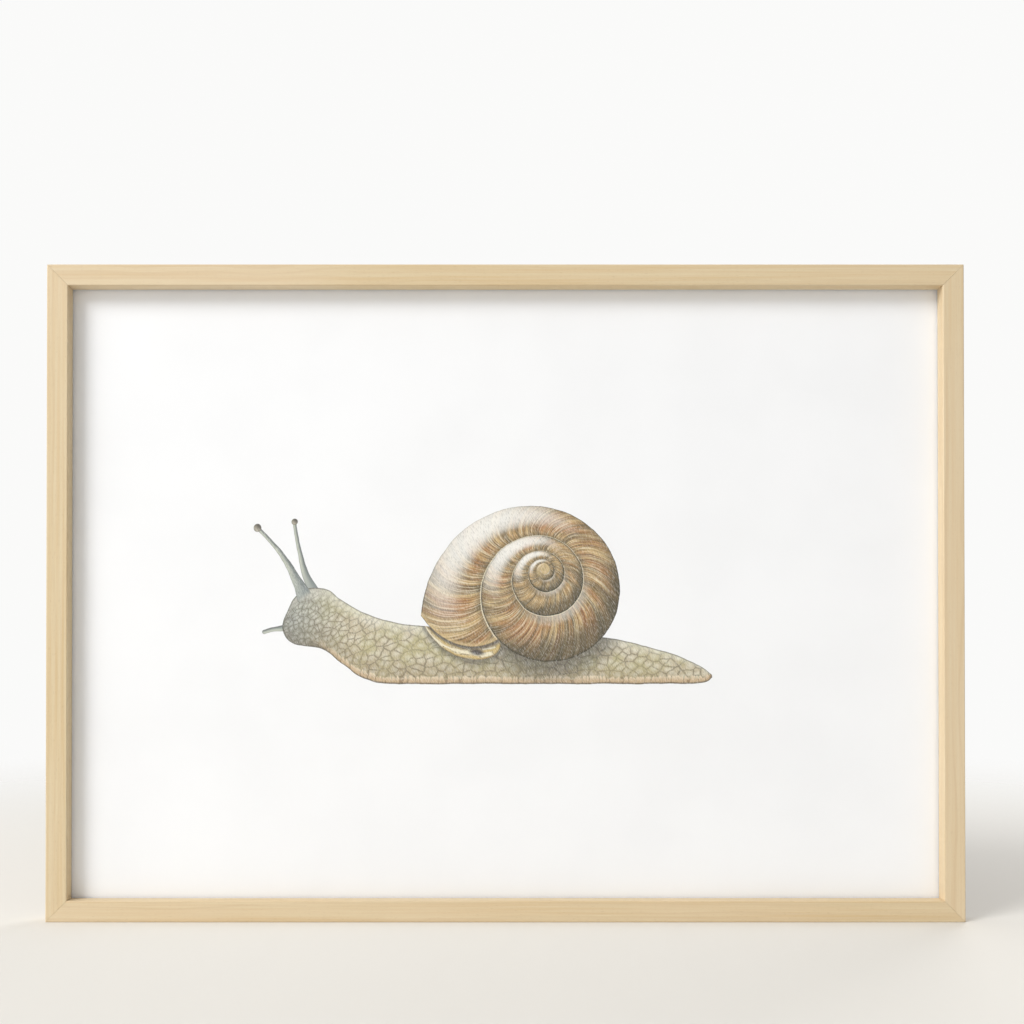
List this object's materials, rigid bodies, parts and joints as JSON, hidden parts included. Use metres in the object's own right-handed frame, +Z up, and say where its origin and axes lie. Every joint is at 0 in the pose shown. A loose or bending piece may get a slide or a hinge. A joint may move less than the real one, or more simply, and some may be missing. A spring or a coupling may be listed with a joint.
{
  "type": "framed print",
  "caption": "Wide rectangular wooden picture frame with a natural-history print behind a clear pane, backed with foam board and a thin panel, with swivel catches and hanging rings behind.",
  "frame": {"origin": "middle of the footprint on the underside, half way through the whole depth, hangers included", "axes": "+X to the right for someone looking at the picture, +Y from the front to the wall side, +Z up"},
  "size_m": [0.871, 0.0296, 0.624],
  "materials": {
    "pale_wood": "fine straight grain, clear matt finish",
    "clear_acrylic": "clear, smooth",
    "white_paper": "smooth matt printed sheet",
    "white_foam": "smooth paper faces on a white foam core",
    "brown_board": "pressed fibre board, matt",
    "zinc_steel": "zinc plated",
    "brassed_steel": "brass plated",
    "dark_felt": "dense felt"
  },
  "bodies": {
    "frame": {"rail_top": "pale_wood", "rail_bottom": "pale_wood", "rail_left": "pale_wood", "rail_right": "pale_wood", "glazing_pane": "clear_acrylic", "print_sheet": "white_paper", "foam_board": "white_foam", "back_panel": "brown_board", "corner_nail_bottom_left_outer": "zinc_steel", "corner_nail_bottom_left_inner": "zinc_steel", "corner_nail_bottom_right_outer": "zinc_steel", "corner_nail_bottom_right_inner": "zinc_steel", "corner_nail_top_left_outer": "zinc_steel", "corner_nail_top_left_inner": "zinc_steel", "corner_nail_top_right_outer": "zinc_steel", "corner_nail_top_right_inner": "zinc_steel", "button_screw_top_left": "zinc_steel", "button_screw_top_middle": "zinc_steel", "button_screw_top_right": "zinc_steel", "button_screw_bottom_left": "zinc_steel", "button_screw_bottom_middle": "zinc_steel", "button_screw_bottom_right": "zinc_steel", "button_screw_left": "zinc_steel", "button_screw_right": "zinc_steel", "hanger_plate_left": "brassed_steel", "hanger_screw_left_upper": "brassed_steel", "hanger_screw_left_lower": "brassed_steel", "wall_pad_left": "dark_felt", "hanger_plate_right": "brassed_steel", "hanger_screw_right_upper": "brassed_steel", "hanger_screw_right_lower": "brassed_steel", "wall_pad_right": "dark_felt"},
    "turn_button_top_left": {"turn_button_top_left": "zinc_steel"},
    "turn_button_top_middle": {"turn_button_top_middle": "zinc_steel"},
    "turn_button_top_right": {"turn_button_top_right": "zinc_steel"},
    "turn_button_bottom_left": {"turn_button_bottom_left": "zinc_steel"},
    "turn_button_bottom_middle": {"turn_button_bottom_middle": "zinc_steel"},
    "turn_button_bottom_right": {"turn_button_bottom_right": "zinc_steel"},
    "turn_button_left": {"turn_button_left": "zinc_steel"},
    "turn_button_right": {"turn_button_right": "zinc_steel"},
    "hanger_ring_left": {"hanger_ring_left": "brassed_steel"},
    "hanger_ring_right": {"hanger_ring_right": "brassed_steel"}
  },
  "joints": [
    {"name": "turn_button_top_left_swivel", "type": "hinge", "parent": "frame", "child": "turn_button_top_left", "pos_m": [-0.3, 0.0102, 0.617], "axis": [0, 1, 0], "continuous": true},
    {"name": "turn_button_top_middle_swivel", "type": "hinge", "parent": "frame", "child": "turn_button_top_middle", "pos_m": [0, 0.0102, 0.617], "axis": [0, 1, 0], "continuous": true},
    {"name": "turn_button_top_right_swivel", "type": "hinge", "parent": "frame", "child": "turn_button_top_right", "pos_m": [0.3, 0.0102, 0.617], "axis": [0, 1, 0], "continuous": true},
    {"name": "turn_button_bottom_left_swivel", "type": "hinge", "parent": "frame", "child": "turn_button_bottom_left", "pos_m": [-0.3, 0.0102, 0.007], "axis": [0, 1, 0], "continuous": true},
    {"name": "turn_button_bottom_middle_swivel", "type": "hinge", "parent": "frame", "child": "turn_button_bottom_middle", "pos_m": [0, 0.0102, 0.007], "axis": [0, 1, 0], "continuous": true},
    {"name": "turn_button_bottom_right_swivel", "type": "hinge", "parent": "frame", "child": "turn_button_bottom_right", "pos_m": [0.3, 0.0102, 0.007], "axis": [0, 1, 0], "continuous": true},
    {"name": "turn_button_left_swivel", "type": "hinge", "parent": "frame", "child": "turn_button_left", "pos_m": [-0.4285, 0.0102, 0.312], "axis": [0, 1, 0], "continuous": true},
    {"name": "turn_button_right_swivel", "type": "hinge", "parent": "frame", "child": "turn_button_right", "pos_m": [0.4285, 0.0102, 0.312], "axis": [0, 1, 0], "continuous": true},
    {"name": "hanger_ring_left_swing", "type": "hinge", "parent": "frame", "child": "hanger_ring_left", "pos_m": [-0.4275, 0.01255, 0.505], "axis": [1, 0, 0], "range_deg": [0, 180]},
    {"name": "hanger_ring_right_swing", "type": "hinge", "parent": "frame", "child": "hanger_ring_right", "pos_m": [0.4275, 0.01255, 0.505], "axis": [1, 0, 0], "range_deg": [0, 180]}
  ]
}
